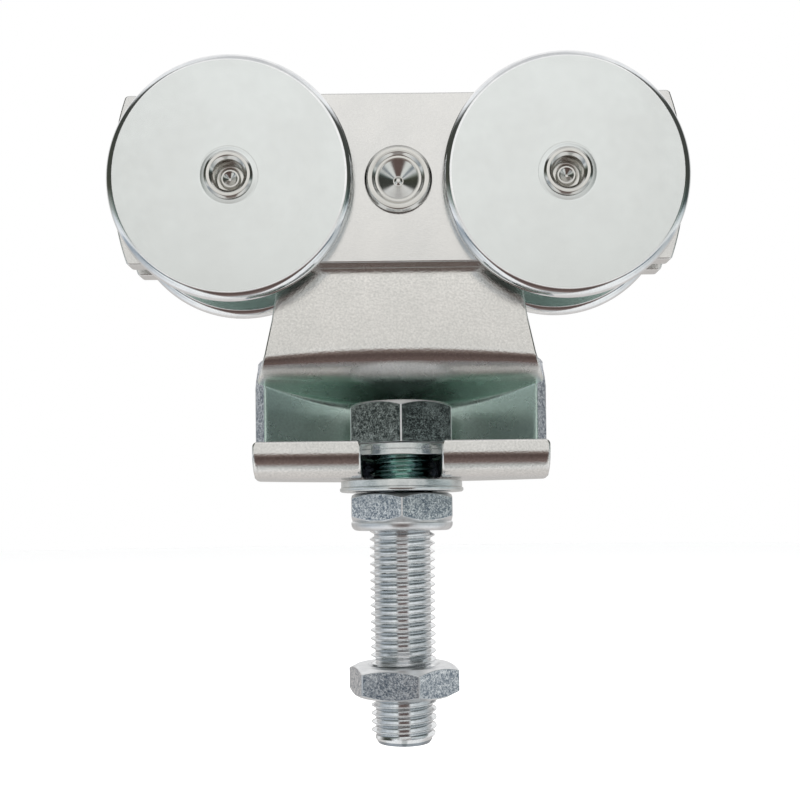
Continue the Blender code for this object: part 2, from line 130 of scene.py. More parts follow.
# One pitch of the thread, as (share of the pitch, share of the depth)
THREAD_FORM = [(0.0, 0.0), (0.055, 0.02), (0.085, 0.09), (0.35, 0.94), (0.40, 1.0)]
THREAD_FORM += [(0.50, 1.02), (0.60, 1.0), (0.65, 0.94), (0.915, 0.09), (0.945, 0.02)]

# Fineness of the meshes
AROUND = 144
WHEEL_AROUND = 192
HOLE_AROUND = 96
THREAD_AROUND = 96
BALL_AROUND = 40
BALL_STEPS = 20
HEX_STEPS = 40  # columns of faces in one sixth of a hexagon
PLATE_END_STEPS = 40
BEND_STEPS = 14

# The pressed sheet's rows of points, from the web's top to the lip's top
WEB_ROWS = [WEB_TOP, WEB_TOP - WEB_CORNER, -WEB_TOP + WEB_CORNER, -WEB_TOP, -WEB_TOP - 0.4 * MM]
WEB_ROWS += [-22.0 * MM, NECK_Z, -29.0 * MM, SHOULDER_Z]
SHOULDER_ROWS = 4
ROOF_ROWS = 5
WALL_ROWS = 7
LIP_ROWS = 2
LIP_CORNER_ROWS = 12
ROWS_ABOVE_LIP_BEND = LIP_ROWS + 1 + LIP_CORNER_ROWS

# Surroundings
FLOOR_RADIUS = 3.0
FLOOR_DROP = 25.0 * MM

made_materials = {}
row_cache = {}


# ---- node helpers


class Graph:
    """Short calls for building a node tree."""

    def __init__(self, tree):
        self.tree = tree

    def node(self, kind, **settings):
        made = self.tree.nodes.new(kind)
        for key, value in settings.items():
            setattr(made, key, value)
        return made

    def link(self, source, target):
        self.tree.links.new(source, target)

    def feed(self, socket, value):
        if isinstance(value, bpy.types.NodeSocket):
            self.link(value, socket)
        else:
            socket.default_value = value

    def math(self, operation, *values):
        made = self.node("ShaderNodeMath", operation=operation)
        for socket, value in zip(made.inputs, values):
            self.feed(socket, value)
        return made.outputs[0]

    def noise(self, vector, scale, detail=2.0, roughness=0.5, dimensions="3D"):
        made = self.node("ShaderNodeTexNoise", noise_dimensions=dimensions)
        self.feed(made.inputs["W" if dimensions == "1D" else "Vector"], vector)
        made.inputs["Scale"].default_value = scale
        made.inputs["Detail"].default_value = detail
        made.inputs["Roughness"].default_value = roughness
        return made.outputs["Fac"]

    def ramp(self, factor, stops):
        made = self.node("ShaderNodeValToRGB")
        elements = made.color_ramp.elements
        while len(elements) < len(stops):
            elements.new(0.5)
        for element, (place, colour) in zip(elements, stops):
            element.position = place
            element.color = (*colour, 1.0)
        self.link(factor, made.inputs["Fac"])
        return made.outputs["Color"]

    def mix(self, factor, first, second, blend="MIX"):
        made = self.node("ShaderNodeMix", data_type="RGBA", blend_type=blend)
        self.feed(made.inputs["Factor"], factor)
        self.feed(made.inputs["A"], first if isinstance(first, bpy.types.NodeSocket) else (*first, 1.0))
        self.feed(made.inputs["B"], second if isinstance(second, bpy.types.NodeSocket) else (*second, 1.0))
        return made.outputs["Result"]

    def span(self, value, low, high, to_low=0.0, to_high=1.0, smooth=False):
        made = self.node("ShaderNodeMapRange")
        made.interpolation_type = "SMOOTHSTEP" if smooth else "LINEAR"
        self.feed(made.inputs["Value"], value)
        made.inputs["From Min"].default_value = low
        made.inputs["From Max"].default_value = high
        made.inputs["To Min"].default_value = to_low
        made.inputs["To Max"].default_value = to_high
        return made.outputs["Result"]

    def bump(self, height, distance):
        made = self.node("ShaderNodeBump")
        made.inputs["Strength"].default_value = 1.0
        made.inputs["Distance"].default_value = distance
        self.link(height, made.inputs["Height"])
        return made.outputs["Normal"]


def metal_graph(name, roughness):
    """A metallic material with its graph and its object coordinates."""
    material = bpy.data.materials.new(name)
    material.use_nodes = True
    graph = Graph(material.node_tree)
    shader = material.node_tree.nodes["Principled BSDF"]
    shader.inputs["Metallic"].default_value = 1.0
    shader.inputs["Roughness"].default_value = roughness
    place = graph.node("ShaderNodeTexCoord").outputs["Object"]
    return material, graph, shader, place


def axis_distance(graph, place):
    """The distance from the piece's own Z axis."""
    flat = graph.node("ShaderNodeVectorMath", operation="MULTIPLY")
    graph.link(place, flat.inputs[0])
    flat.inputs[1].default_value = (1.0, 1.0, 0.0)
    length = graph.node("ShaderNodeVectorMath", operation="LENGTH")
    graph.link(flat.outputs[0], length.inputs[0])
    return length.outputs["Value"]


def zinc(name, pale, dark, roughness, grain_scale, grain, blotch_scale=90.0, spread=0.05, painted_shade_tint=None,
         groove=None):
    """Bright zinc plate: slow colour blotches, uneven gloss and a fine grain.

    tint is (axis, start, end, colour) along the piece: painted shade that multiplies the colour by the shade
    colour towards the end.
    groove is (root radius, crest radius, colour of the root) of a thread: painted shade that darkens the
    thread's roots.
    """
    material, graph, shader, place = metal_graph(name, roughness)
    blotch = graph.noise(place, blotch_scale, 4.0, 0.6)
    fleck = graph.noise(place, grain_scale, 2.0, 0.6)
    colour = graph.mix(graph.span(blotch, 0.35, 0.68), dark, pale)
    shade = graph.span(fleck, 0.3, 0.7, 1.0 - spread, 1.0)
    grey = graph.node("ShaderNodeCombineColor")
    for socket in grey.inputs:
        graph.link(shade, socket)
    colour = graph.mix(1.0, colour, grey.outputs[0], "MULTIPLY")
    # Painted shade: towards the tint's end the colour is multiplied by its shade colour.
    if painted_shade_tint:
        axis, start, end, hue = painted_shade_tint
        parts = graph.node("ShaderNodeSeparateXYZ")
        graph.link(place, parts.inputs[0])
        depth = graph.span(parts.outputs[axis], start, end, smooth=True)
        colour = graph.mix(depth, colour, graph.mix(1.0, colour, hue, "MULTIPLY"))
    # Painted shade: the thread's roots are darkened, fading out towards the crest radius.
    if groove:
        root, crest, shade = groove
        depth = graph.span(axis_distance(graph, place), root, crest)
        colour = graph.mix(depth, graph.mix(1.0, colour, shade, "MULTIPLY"), colour)
    graph.link(colour, shader.inputs["Base Color"])
    graph.link(graph.span(blotch, 0.3, 0.7, roughness * 1.15, roughness * 0.9), shader.inputs["Roughness"])
    graph.link(graph.bump(fleck, grain), shader.inputs["Normal"])
    return material


def pressed_zinc():
    return zinc("pressed_zinc", (0.89, 0.875, 0.85), (0.83, 0.82, 0.795), 0.15, 1900.0, 0.026 * MM,
                spread=0.16)


def pocket_painted_shade_zinc():
    # Painted shade: from the centre plane to 5 mm behind it, the pocket's inside turns darker and greener, as
    # its hollow lies in shade.
    painted_pocket_shade = ("Y", 0.0, 5.0 * MM, (0.83, 1.02, 0.97))
    return zinc("pocket_painted_shade_zinc", (0.89, 0.875, 0.85), (0.83, 0.82, 0.795), 0.27, 1900.0, 0.026 * MM,
                spread=0.16, painted_shade_tint=painted_pocket_shade)


def plate_zinc():
    return zinc("plate_zinc", (0.84, 0.83, 0.81), (0.80, 0.795, 0.78), 0.22, 3300.0, 0.022 * MM, 60.0, 0.07)


def turned_zinc(name, pale, dark, roughness, ring_scale=2600.0, ring_depth=0.001 * MM):
    """Zinc over turning marks that run round the piece's own Z axis."""
    material, graph, shader, place = metal_graph(name, roughness)
    rings = graph.noise(axis_distance(graph, place), ring_scale, 3.0, 0.7, "1D")
    blotch = graph.noise(place, 70.0, 4.0, 0.55)
    fleck = graph.noise(place, 400.0, 2.0, 0.5)
    tone = graph.math("ADD", graph.math("MULTIPLY", blotch, 0.8), graph.math("MULTIPLY", rings, 0.2))
    graph.link(graph.mix(graph.span(tone, 0.38, 0.62), dark, pale), shader.inputs["Base Color"])
    graph.link(graph.span(fleck, 0.3, 0.7, roughness * 0.95, roughness * 1.05), shader.inputs["Roughness"])
    graph.link(graph.bump(rings, ring_depth), shader.inputs["Normal"])
    return material


def speckled_zinc(name, pale, dark, roughness, grain, scale=3900.0):
    """Rough forged or sheared steel under zinc: a fine random speckle of light and dark grains."""
    material, graph, shader, place = metal_graph(name, roughness)
    fleck = graph.noise(place, scale, 4.0, 0.85)
    cluster = graph.noise(place, scale * 0.3, 2.0, 0.6)
    patch = graph.noise(place, 160.0, 3.0, 0.6)
    pits = graph.node("ShaderNodeTexVoronoi")
    graph.link(place, pits.inputs["Vector"])
    pits.inputs["Scale"].default_value = scale * 0.6
    grains = graph.math("ADD", fleck, graph.math("MULTIPLY", pits.outputs["Distance"], 0.2))
    grains = graph.math("ADD", grains, graph.math("MULTIPLY", cluster, 0.35))
    colour = graph.mix(graph.span(grains, 0.68, 0.92), dark, pale)
    light = tuple(min(1.0, c * 1.2) for c in pale)
    graph.link(graph.mix(graph.span(patch, 0.55, 0.8, 0.0, 0.5), colour, light), shader.inputs["Base Color"])
    graph.link(graph.span(patch, 0.3, 0.7, roughness * 0.8, roughness * 1.2), shader.inputs["Roughness"])
    graph.link(graph.bump(grains, grain), shader.inputs["Normal"])
    return material


def material(name):
    """The named material, made the first time it is asked for."""
    makers = {
        "pressed": pressed_zinc,
        "pocket": pocket_painted_shade_zinc,
        "plate": plate_zinc,
        "cut_edge": lambda: speckled_zinc("cut_edge_zinc", (0.80, 0.83, 0.87), (0.20, 0.23, 0.28), 0.24,
                                          0.05 * MM, 2200.0),
        "wheel": lambda: turned_zinc("wheel_zinc", (0.815, 0.845, 0.835), (0.785, 0.81, 0.80), 0.26,
                                     ring_depth=0.0004 * MM),
        "rim": lambda: zinc("rim_zinc", (0.95, 0.95, 0.95), (0.86, 0.87, 0.88), 0.09, 2400.0,
                            0.006 * MM, 300.0, 0.06),
        # Painted shade: the wheels' inner faces, in the gap by the plates, get a greener copy of the wheel
        # zinc.
        "wheel_inside_painted_shade": lambda: turned_zinc("wheel_inside_painted_shade_zinc", (0.80, 0.92, 0.89), (0.74, 0.86, 0.83),
                                            0.24),
        "rivet": lambda: turned_zinc("rivet_zinc", (0.74, 0.73, 0.70), (0.62, 0.61, 0.58), 0.16, 1500.0,
                                     0.003 * MM),
        "turned": lambda: turned_zinc("sleeve_zinc", (0.70, 0.71, 0.71), (0.62, 0.63, 0.63), 0.25),
        "race": lambda: turned_zinc("ground_steel", (0.62, 0.63, 0.65), (0.56, 0.57, 0.59), 0.10, 3000.0,
                                    0.002 * MM),
        "washer": lambda: zinc("washer_zinc", (0.80, 0.82, 0.81), (0.66, 0.69, 0.69), 0.16, 1800.0,
                               0.02 * MM, 220.0, 0.08),
        # Painted shade on the thread: from z = -73 mm upward, into the slot, it turns darker and greener, and
        # its roots are darkened.
        "thread": lambda: zinc("thread_zinc", (0.97, 0.98, 0.99), (0.84, 0.86, 0.87), 0.12, 1600.0,
                               0.012 * MM, 260.0, 0.12, ("Z", -73.0 * MM, -71.0 * MM, (0.55, 0.78, 0.71)),
                               (6.79 * MM, 6.835 * MM, (0.38, 0.41, 0.44))),
        "hex_face": lambda: zinc("hex_chamfer_zinc", (0.90, 0.91, 0.92), (0.78, 0.79, 0.80), 0.32, 1500.0,
                                 0.02 * MM, 250.0, 0.08),
        # Painted shade: the bolt head's flats, down in the pocket, get a far darker copy of the nut flats'
        # speckle.
        "head_flat_painted_shade": lambda: speckled_zinc("head_flat_painted_shade_zinc", (0.50, 0.53, 0.51), (0.008, 0.016, 0.016), 0.18,
                                           0.018 * MM, 3300.0),
        "nut_flat": lambda: speckled_zinc("nut_flat_zinc", (1.0, 1.0, 1.0), (0.16, 0.20, 0.25), 0.18,
                                          0.022 * MM, 3300.0),
    }
    if name not in made_materials:
        made_materials[name] = makers[name]()
    return made_materials[name]


# ---- mesh helpers


def arc_corner(before, corner, after, radius, steps=5):
    """Points of the arc that rounds a corner between two neighbours in a plane."""
    here = Vector(corner)
    back = (Vector(before) - here).normalized()
    ahead = (Vector(after) - here).normalized()
    half = back.angle(ahead) / 2
    centre = here + (back + ahead).normalized() * (radius / sin(half))
    start = here + back * (radius / tan(half)) - centre
    turn = pi - 2 * half
    way = 1 if back.y * ahead.x - back.x * ahead.y > 0 else -1
    made = []
    for i in range(steps + 1):
        a = way * turn * i / steps
        first = centre.x + start.x * cos(a) - start.y * sin(a)
        second = centre.y + start.x * sin(a) + start.y * cos(a)
        made.append((first, second))
    return made


def filleted(corners, closed=False, steps=5):
    """Corners of (a, b) or (a, b, radius) as a line whose named corners are rounded."""
    made = []
    count = len(corners)
    for i, corner in enumerate(corners):
        ends = not closed and i in (0, count - 1)
        if len(corner) < 3 or ends:
            made.append(tuple(corner[:2]))
            continue
        before = corners[i - 1][:2]
        after = corners[(i + 1) % count][:2]
        made += arc_corner(before, corner[:2], after, corner[2], steps)
    return made


def new_piece(name, shape, surface, sharp=30.0):
    """An object of a finished bmesh, smooth but for sharp edges, with one surface or a list of them."""
    bmesh.ops.recalc_face_normals(shape, faces=shape.faces)
    mesh = bpy.data.meshes.new(name)
    shape.to_mesh(mesh)
    shape.free()
    mesh.shade_smooth()
    mesh.set_sharp_from_angle(angle=radians(sharp))
    piece = bpy.data.objects.new(name, mesh)
    bpy.context.scene.collection.objects.link(piece)
    for each in surface if isinstance(surface, (list, tuple)) else [surface]:
        mesh.materials.append(material(each))
    return piece


def lathe(name, profile, surface, closed=False, around=AROUND, sharp=30.0, pick=None):
    """A turned piece about local Z, from a profile of (radius, z).

    pick gives the index of the surface at a (radius, z).
    """
    shape = bmesh.new()
    rings = []
    for radius, z in profile:
        if radius < 1e-7:
            rings.append([shape.verts.new((0.0, 0.0, z))])
            continue
        turns = [2 * pi * i / around for i in range(around)]
        rings.append([shape.verts.new((radius * cos(a), radius * sin(a), z)) for a in turns])
    pairs = list(zip(rings, rings[1:]))
    if closed:
        pairs.append((rings[-1], rings[0]))
    for first, second in pairs:
        middle = (first[0].co + second[0].co) / 2
        index = pick(middle.x, middle.z) if pick else 0
        for i in range(around):
            j = (i + 1) % around
            corners = [first[i % len(first)], first[j % len(first)]]
            corners += [second[j % len(second)], second[i % len(second)]]
            face = list(dict.fromkeys(corners))
            if len(face) > 2:
                shape.faces.new(face).material_index = index
    return new_piece(name, shape, surface, sharp)


def settle(piece, body, slot, *nodes):
    """Puts a finished piece on its body in place of its CAD nodes."""
    evened = piece.modifiers.new("face_normals", "WEIGHTED_NORMAL")
    evened.keep_sharp = True
    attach(piece, body)
    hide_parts(*nodes)
    return piece


def facing_front(piece, x=0.0):
    """Turns a piece's local +Z to the front, at a place along the track."""
    piece.matrix_world = Matrix.Translation((x, 0.0, 0.0)) @ Matrix.Rotation(pi / 2, 4, "X")
    return piece


def mirrored(profile):
    """The profile with its reflection below Z = 0, so that it runs on down the outside."""
    return profile + [(radius, -z) for radius, z in reversed(profile)]


def apply_modifiers(piece):
    graph = bpy.context.evaluated_depsgraph_get()
    mesh = bpy.data.meshes.new_from_object(piece.evaluated_get(graph))
    piece.modifiers.clear()
    old = piece.data
    piece.data = mesh
    bpy.data.meshes.remove(old)
    return piece


def through_hole(radius):
    """The profile of a plain hole through the whole carrier."""
    end = SHEET * 2
    return [(0.0, end), (radius, end), (radius, -end), (0.0, -end)]


def cut_turned(piece, x, profile):
    """Cuts a turned hole along Y, from a profile of (radius, distance in front of the centre plane)."""
    cutter = facing_front(lathe("cutter", profile, "plate", around=HOLE_AROUND), x)
    cut = piece.modifiers.new("cut", "BOOLEAN")
    cut.operation = "DIFFERENCE"
    cut.solver = "EXACT"
    cut.object = cutter
    bpy.context.view_layer.update()
    apply_modifiers(piece)
    bpy.data.objects.remove(cutter, do_unlink=True)


# ---- wheels, axles and bearings


def make_wheel(side, place, sign, x):
    """A disc with rounded rims and a faint press ring round its hub on the outer face."""
    outer = WHEEL_OUTER_Y
    inner = outer - WHEEL_THICKNESS
    bore = SPIGOT_RADIUS + GAP
    ring = FLARE_RADIUS + 0.75 * MM
    sunk = 0.05 * MM
    corners = [
        (bore, outer),
        (ring, outer),
        (ring + 0.15 * MM, outer - sunk),
        (ring + 0.45 * MM, outer - sunk),
        (ring + 0.60 * MM, outer),
        (WHEEL_RADIUS - WHEEL_RIM_ROUND - 0.1 * MM, outer),
        (WHEEL_RADIUS, outer, WHEEL_RIM_ROUND),
        (WHEEL_RADIUS, inner, WHEEL_RIM_ROUND),
        (bore, inner),
    ]
    profile = [(radius, sign * z) for radius, z in filleted(corners, True, 9)]

    def surface(radius, z):
        if radius > WHEEL_RADIUS - WHEEL_RIM_ROUND:
            return 1
        # The inner face gets the wheel zinc's greener copy, a painted shade.
        return 2 if abs(z) < (inner + outer) / 2 else 0

    surfaces = ["wheel", "rim", "wheel_inside_painted_shade"]
    wheel = lathe(f"{side}_{place}_wheel_disc", profile, surfaces, True, WHEEL_AROUND, pick=surface)
    settle(facing_front(wheel, x), f"{side}_wheelset", "wheel_steel", f"{side}_{place}_wheel")


def make_axle(side, x):
    """The axle with a flared, hollow end over each wheel and a dimpled stub inside the hollow."""
    face = WHEEL_OUTER_Y + GAP
    top = face + FLARE_HEIGHT
    shoulder = WHEEL_OUTER_Y - WHEEL_THICKNESS - GAP
    floor = top - RECESS_DEPTH
    stub_top = floor + STUB_HEIGHT
    corners = [
        (0.0, stub_top - 0.75 * MM),
        (0.45 * MM, stub_top - 0.62 * MM, 0.5 * MM),
        (1.45 * MM, stub_top - 0.12 * MM, 0.25 * MM),
        (1.75 * MM, stub_top, 0.12 * MM),
        (STUB_RADIUS, stub_top, 0.25 * MM),
        (STUB_RADIUS, floor, 0.2 * MM),
        (RECESS_RADIUS - 0.2 * MM, floor, 0.3 * MM),
        (RECESS_RADIUS, top - 0.75 * MM, 0.4 * MM),
        (RECESS_RADIUS + 0.75 * MM, top, 0.5 * MM),
        (FLARE_RADIUS - 0.55 * MM, top, 0.45 * MM),
        (FLARE_RADIUS, top - 0.4 * MM, 0.15 * MM),
        (FLARE_RADIUS, face, 0.05 * MM),
        (SPIGOT_RADIUS, face),
        (SPIGOT_RADIUS, shoulder),
        (JOURNAL_RADIUS, shoulder),
    ]
    axle = lathe(side + "_flared_axle", mirrored(filleted(corners, steps=4)), "rivet")
    settle(facing_front(axle, x), side + "_wheelset", "rivet_steel", side + "_axle")


def make_spacer(side, place, sign, x):
    low = BEARING_HALF_WIDTH + GAP
    high = WHEEL_OUTER_Y - WHEEL_THICKNESS - 2 * GAP
    bore = JOURNAL_RADIUS + GAP
    bevel = 0.25 * MM
    corners = [(bore, high, bevel), (SPACER_RADIUS, high, bevel)]
    corners += [(SPACER_RADIUS, low, bevel), (bore, low, bevel)]
    profile = [(radius, sign * z) for radius, z in filleted(corners, True, 3)]
    spacer = lathe(f"{side}_{place}_sleeve", profile, "turned", True)
    settle(facing_front(spacer, x), side + "_wheelset", "turned_steel", f"{side}_{place}_spacer")


def raceway(rim, groove, steps=12):
    """The groove's points from the top of a ring to its bottom, as (radius, z)."""
    pitch = (OUTER_RING_INSIDE + INNER_RING_OUTSIDE) / 2
    depth = abs(groove - pitch)
    reach = sqrt(max(depth**2 - (rim - pitch) ** 2, 0.0))
    widest = atan2(reach, abs(rim - pitch))
    sign = 1 if groove > pitch else -1
    angles = [widest * (1 - 2 * i / steps) for i in range(steps + 1)]
    return [(pitch + sign * depth * cos(a), depth * sin(a)) for a in angles]


def make_bearing(side, x):
    half = BEARING_HALF_WIDTH
    pitch = (OUTER_RING_INSIDE + INNER_RING_OUTSIDE) / 2
    depth = BALL_RADIUS + BALL_CLEARANCE
    bevel = 0.35 * MM
    outer = [(OUTER_RING_INSIDE, half), (BEARING_OUTER_RADIUS, half, bevel)]
    outer += [(BEARING_OUTER_RADIUS, -half, bevel), (OUTER_RING_INSIDE, -half)]
    outer += list(reversed(raceway(OUTER_RING_INSIDE, pitch + depth)))
    ring = facing_front(lathe(side + "_outer_race", filleted(outer, True, 4), "race", True), x)
    settle(ring, "carrier", "bearing_steel", side + "_bearing_outer_ring")
    bore = JOURNAL_RADIUS + GAP
    inner = [(bore, half, bevel), (INNER_RING_OUTSIDE, half)]
    inner += raceway(INNER_RING_OUTSIDE, pitch - depth)
    inner += [(INNER_RING_OUTSIDE, -half), (bore, -half, bevel)]
    ring = facing_front(lathe(side + "_inner_race", filleted(inner, True, 4), "race", True), x)
    settle(ring, side + "_wheelset", "bearing_steel", side + "_bearing_inner_ring")
    for i in range(BALL_COUNT):
        a = 2 * pi * i / BALL_COUNT + pi / 2
        make_ball(side, i + 1, (x + pitch * cos(a), 0.0, pitch * sin(a)))


def make_ball(side, number, centre):
    turns = [pi * i / BALL_STEPS for i in range(BALL_STEPS + 1)]
    profile = [(BALL_RADIUS * sin(a), BALL_RADIUS * cos(a)) for a in turns]
    ball = lathe(f"{side}_bearing_ball_{number}", profile, "race", around=BALL_AROUND)
    ball.matrix_world = Matrix.Translation(centre)
    settle(ball, side + "_balls", "bearing_steel", f"{side}_ball_{number}")


# ---- carrier plates and rivet


def plate_outline():
    """The plate's outline in (x, z): long edges with shallow arcs for ends and small round corners."""
    radius = (PLATE_HALF_HEIGHT**2 + PLATE_BULGE**2) / (2 * PLATE_BULGE)
    centre = PLATE_HALF_LENGTH + PLATE_BULGE - radius
    sweep = atan2(PLATE_HALF_HEIGHT, PLATE_HALF_LENGTH - centre)
    right = []
    for i in range(1, PLATE_END_STEPS):
        a = sweep * (2 * i / PLATE_END_STEPS - 1)
        right.append((centre + radius * cos(a), radius * sin(a)))
    low = (PLATE_HALF_LENGTH, -PLATE_HALF_HEIGHT)
    high = (PLATE_HALF_LENGTH, PLATE_HALF_HEIGHT)
    first = arc_corner((0.0, -PLATE_HALF_HEIGHT), low, right[0], PLATE_CORNER)
    last = arc_corner(right[-1], high, (0.0, PLATE_HALF_HEIGHT), PLATE_CORNER)
    right = first + right[1:-1] + last
    return right + [(-x, -z) for x, z in right]


def make_plate(name, side):
    """One carrier plate, with sheared ends and softly rounded edges. side is -1 for the front one."""
    shape = bmesh.new()
    outline = plate_outline()
    front = [shape.verts.new((x, -SHEET / 2, z)) for x, z in outline]
    shape.faces.new(front)
    made = bmesh.ops.extrude_face_region(shape, geom=list(shape.faces))
    moved = [v for v in made["geom"] if isinstance(v, bmesh.types.BMVert)]
    bmesh.ops.translate(shape, verts=moved, vec=(0.0, SHEET, 0.0))
    plate = new_piece(name + "_pressing", shape, "plate")
    middle = side * (SHEET + GAP)
    plate.location = (0.0, middle, PLATE_RISE)
    round_edges = plate.modifiers.new("edges", "BEVEL")
    round_edges.width = PLATE_EDGE_ROUND
    round_edges.segments = 4
    round_edges.limit_method = "ANGLE"
    round_edges.angle_limit = radians(50.0)
    bpy.context.view_layer.update()
    apply_modifiers(plate)
    seat = BEARING_OUTER_RADIUS + GAP
    seat_floor = -side * (SHEET / 2 + GAP + SEAT_DEPTH)
    near = -side * SHEET / 4
    far = -side * SHEET * 2
    bearing_hole = [(0.0, near), (seat, near), (seat, seat_floor)]
    bearing_hole += [(SPACER_HOLE_RADIUS, seat_floor), (SPACER_HOLE_RADIUS, far), (0.0, far)]
    cut_turned(plate, -AXLE_SPACING / 2, bearing_hole)
    cut_turned(plate, AXLE_SPACING / 2, bearing_hole)
    cut_turned(plate, 0.0, through_hole(RIVET_RADIUS + GAP))
    plate.data.set_sharp_from_angle(angle=radians(30.0))
    settle(plate, "carrier", "side_plate", name)


def make_rivet():
    """The centre rivet: a raised rim, a round valley, a coned dimple and a small centre pip."""
    face = SHEET * 1.5 + 2 * GAP
    top = face + RIVET_HEAD_HEIGHT
    corners = [
        (0.0, top - RIVET_DIMPLE_DEPTH + 0.35 * MM),
        (0.5 * MM, top - RIVET_DIMPLE_DEPTH + 0.30 * MM, 0.4 * MM),
        (1.0 * MM, top - RIVET_DIMPLE_DEPTH, 0.12 * MM),
        (1.25 * MM, top - RIVET_DIMPLE_DEPTH + 0.05 * MM, 0.08 * MM),
        (4.55 * MM, top - 0.72 * MM, 0.5 * MM),
        (4.95 * MM, top - 0.62 * MM, 0.25 * MM),
        (5.5 * MM, top - 0.62 * MM, 0.5 * MM),
        (6.15 * MM, top - 0.05 * MM, 0.35 * MM),
        (6.6 * MM, top, 0.35 * MM),
        (7.35 * MM, top, 0.5 * MM),
        (RIVET_HEAD_RADIUS, top - 0.75 * MM, 0.3 * MM),
        (RIVET_HEAD_RADIUS, face),
        (RIVET_RADIUS, face),
    ]
    rivet = lathe("centre_rivet_formed", mirrored(filleted(corners, steps=5)), "rivet")
    settle(facing_front(rivet), "carrier", "rivet_steel", "centre_rivet")


# ---- pressed hanger


def mixed(pair, across):
    """A value that goes from its centre to its side figure as across goes from 0 to 1."""
    return pair[0] + (pair[1] - pair[0]) * across**2


def steps_between(first, second, count):
    """Points evenly between two points, without either end."""
    a = Vector(first)
    b = Vector(second)
    return [tuple(a.lerp(b, (i + 1) / (count + 1))) for i in range(count)]


def slot_rows():
    """The places along Y of the floor's rows, close together round the slot's inner end."""
    behind = [SLOT_HALF_WIDTH + d * MM for d in (3.0, 1.5, 0.8, 0.45, 0.25, 0.1)]
    turns = [radians(90.0 - 4.5 * i) for i in range(21)]
    around = [SLOT_HALF_WIDTH * sin(a) for a in turns]
    ahead = [-3.0 * MM, -6.0 * MM, -9.0 * MM, -12.0 * MM]
    return behind, around + ahead


def sheet_rows(x):
    """The sheet's middle line in (y, z) at x, from the web's top to the lip's top."""
    across = min(abs(x) / POCKET_HALF_WIDTH, 1.0)
    place = across * POCKET_HALF_WIDTH
    rear_y = REAR_WALL_Y - REAR_WALL_PLAN_RADIUS + sqrt(REAR_WALL_PLAN_RADIUS**2 - place * place)
    roof_end = ROOF_CORNER_Z - rear_y * tan(ROOF_SLOPE)
    corners = [
        (0.0, SHOULDER_Z),
        (0.0, ROOF_CORNER_Z),
        (rear_y, roof_end),
        (rear_y, FLOOR_Z),
        (LIP_Y, FLOOR_Z),
        (LIP_Y, LIP_TOP),
    ]
    bends = [mixed(pair, across) for pair in (SHOULDER_BEND, ROOF_BEND, FLOOR_BEND, LIP_BEND)]
    arcs = []
    for i, radius in enumerate(bends):
        arcs.append(arc_corner(corners[i], corners[i + 1], corners[i + 2], radius, BEND_STEPS))
    rows = [(0.0, z) for z in WEB_ROWS]
    rows += steps_between((0.0, WEB_ROWS[-1]), arcs[0][0], SHOULDER_ROWS)
    rows += arcs[0] + steps_between(arcs[0][-1], arcs[1][0], ROOF_ROWS)
    rows += arcs[1] + steps_between(arcs[1][-1], arcs[2][0], WALL_ROWS)
    rows += arcs[2]
    behind, ahead = slot_rows()
    # towards the sides the rear bend comes forward, and the floor's rows have to stay ahead of it
    squeeze = min((arcs[2][-1][0] - 0.3 * MM) / behind[0], 1.0)
    rows += [(y * squeeze if y > 0 else y, FLOOR_Z) for y in behind + ahead]
    rows += arcs[3]
    top_start = LIP_TOP - CORNER_ROUND
    rows += steps_between(arcs[3][-1], (LIP_Y, top_start), LIP_ROWS) + [(LIP_Y, top_start)]
    turns = [pi / 2 * i / LIP_CORNER_ROWS for i in range(1, LIP_CORNER_ROWS + 1)]
    rows += [(LIP_Y, top_start + CORNER_ROUND * sin(a)) for a in turns]
    return rows


def outer_half_width(row, rows):
    """Half the sheet's width at one row, blended smoothly from station to station."""
    web = {
        0: WEB_HALF_LENGTH - WEB_CORNER,
        1: WEB_HALF_LENGTH,
        2: WEB_HALF_LENGTH,
        3: WEB_HALF_LENGTH - WEB_CORNER,
        4: NECK_HALF_WIDTH + 0.4 * MM,
    }
    if row in web:
        return web[row]
    y, z = rows[row]
    roof_end = len(WEB_ROWS) + SHOULDER_ROWS + 2 * (BEND_STEPS + 1) + ROOF_ROWS
    lip_start = len(rows) - (BEND_STEPS + 1) - ROWS_ABOVE_LIP_BEND
    if row < roof_end:
        stations = [
            (-WEB_TOP - 0.4 * MM, NECK_HALF_WIDTH + 0.4 * MM),
            (NECK_Z, NECK_HALF_WIDTH),
            (SHOULDER_Z, SHOULDER_HALF_WIDTH),
            (ROOF_CORNER_Z + 4 * MM, ROOF_HALF_WIDTH),
            (ROOF_CORNER_Z - 3 * MM, POCKET_HALF_WIDTH),
        ]
        return blended(stations, z)
    if row < lip_start:
        return POCKET_HALF_WIDTH if y > 0 else blended([(0.0, POCKET_HALF_WIDTH), (LIP_Y, LIP_HALF_WIDTH)], y)
    return LIP_HALF_WIDTH - corner_inset(z)


def corner_inset(z):
    """How far the lip's rounded corners draw in at a height."""
    above = max(0.0, z - (LIP_TOP - CORNER_ROUND))
    return CORNER_ROUND - sqrt(max(CORNER_ROUND**2 - above**2, 0.0))


def blended(stations, place):
    """A smooth value from (place, value) stations in falling order of place."""
    if place >= stations[0][0]:
        return stations[0][1]
    for (start, first), (end, second) in zip(stations, stations[1:]):
        if place >= end:
            t = (start - place) / (start - end)
            return first + (second - first) * t
    return stations[-1][1]


def slot_edge(y, z):
    """The slot's edge at a place along the sheet's floor or lip."""
    if y >= SLOT_HALF_WIDTH:
        return 0.0
    if y > 0:
        return sqrt(max(SLOT_HALF_WIDTH**2 - y * y, 0.0))
    return SLOT_HALF_WIDTH + corner_inset(z)


